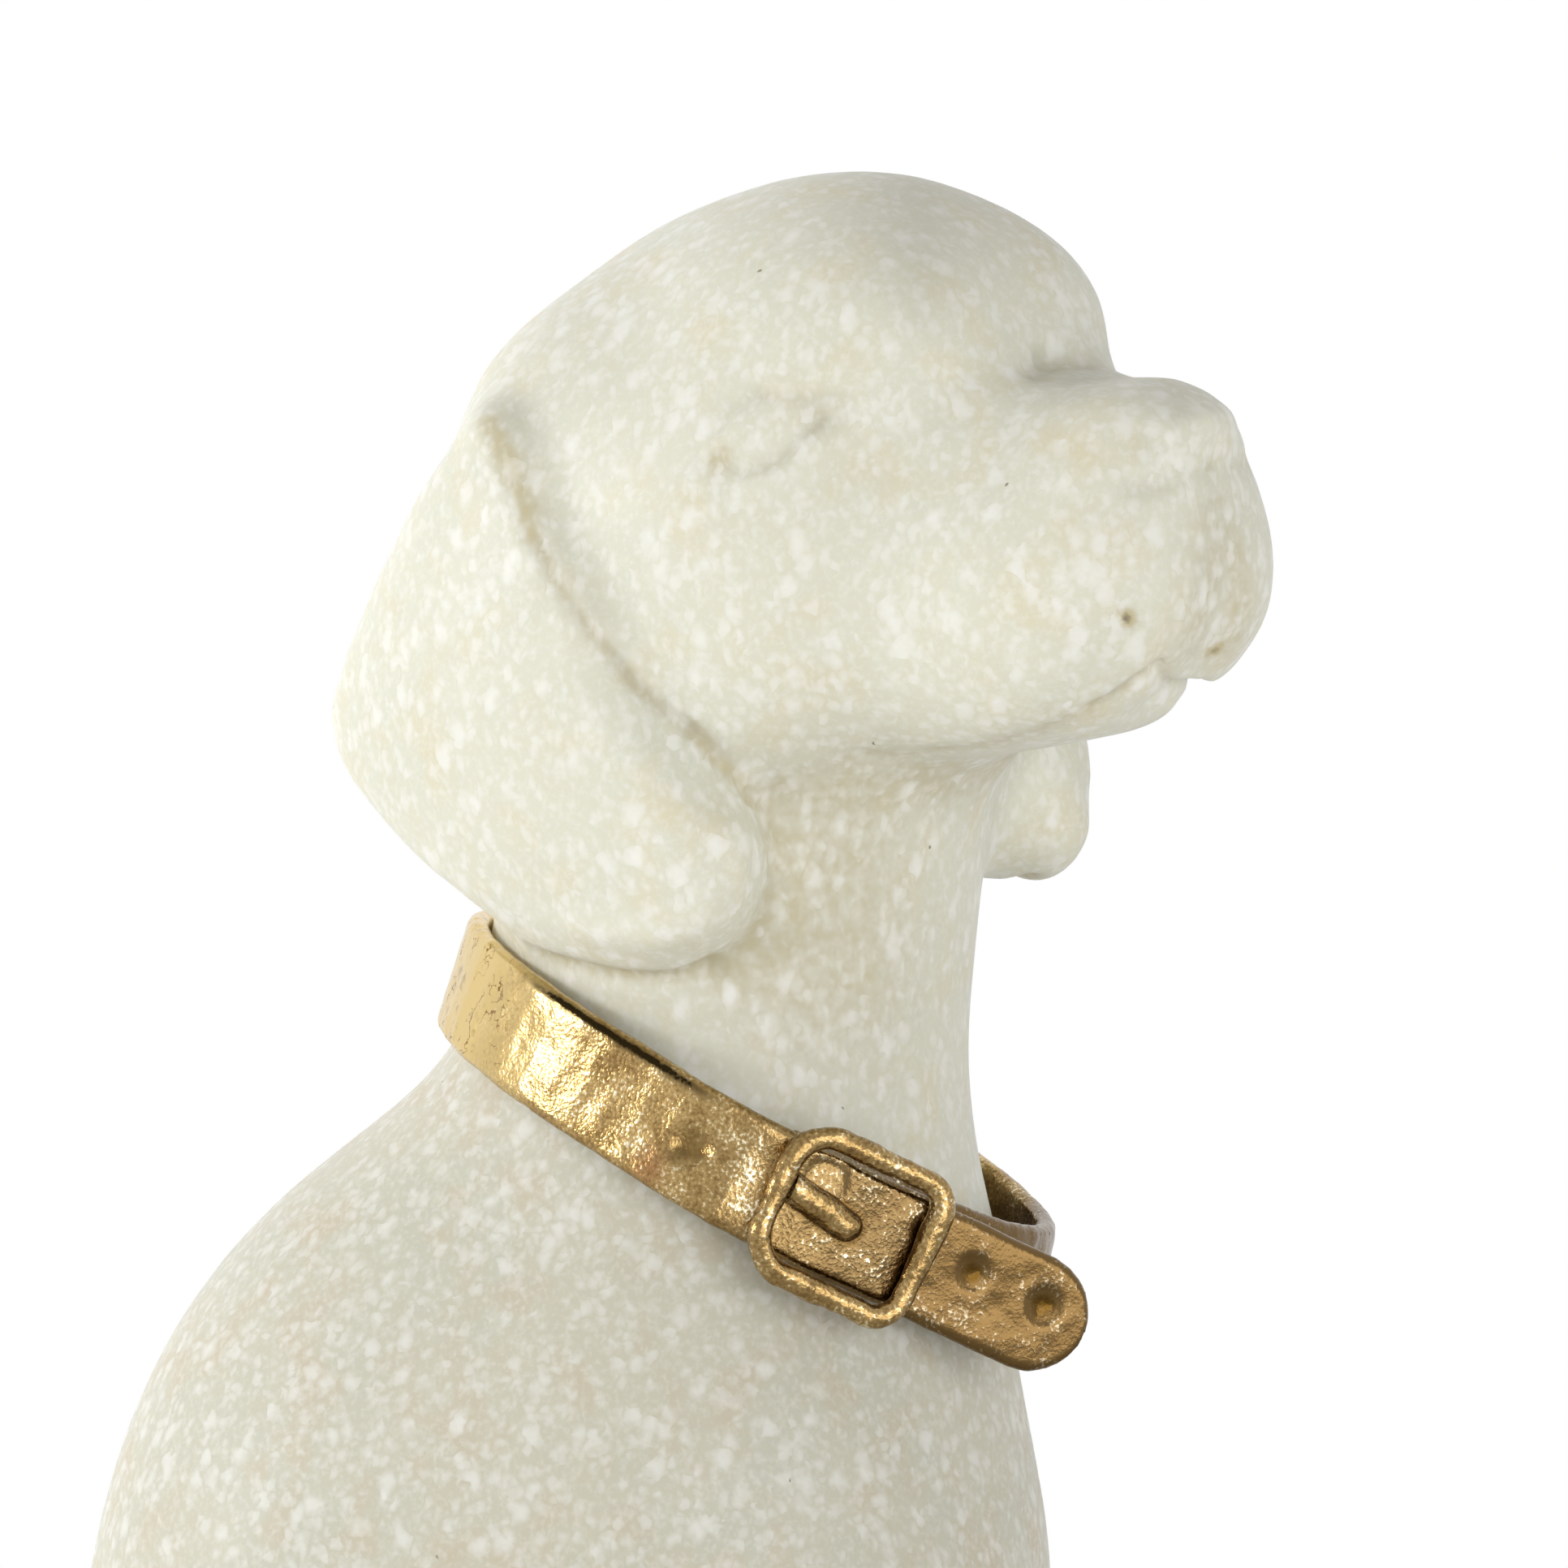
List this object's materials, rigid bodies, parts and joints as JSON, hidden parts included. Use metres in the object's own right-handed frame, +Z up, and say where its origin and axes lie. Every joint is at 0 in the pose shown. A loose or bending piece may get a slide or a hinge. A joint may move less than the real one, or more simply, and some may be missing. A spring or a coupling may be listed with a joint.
{
  "type": "dog sculpture",
  "caption": "Seated dog sculpture in cast marble-look resin, head turned aside, with a buckled collar in gold leaf and felts under the base",
  "frame": {"origin": "The middle of the seat's felt, on the surface that the dog sits on", "axes": "+Z is up, the dog's body faces -Y, and its left side is +X. The head is turned towards -X."},
  "size_m": [0.12, 0.1601, 0.3051],
  "materials": {
    "resin_body": "satin",
    "resin_head": "satin",
    "gold_leaf": "satin",
    "cork": "matte",
    "felt": "matte"
  },
  "bodies": {
    "root": {"body_casting": "resin_body", "head_casting": "resin_head", "collar_strap": "gold_leaf", "buckle_frame": "gold_leaf", "buckle_prong": "gold_leaf", "base_plug": "cork", "seat_felt": "felt", "felt_front_left": "felt", "felt_front_right": "felt", "felt_hind_left": "felt", "felt_hind_right": "felt"}
  },
  "joints": []
}
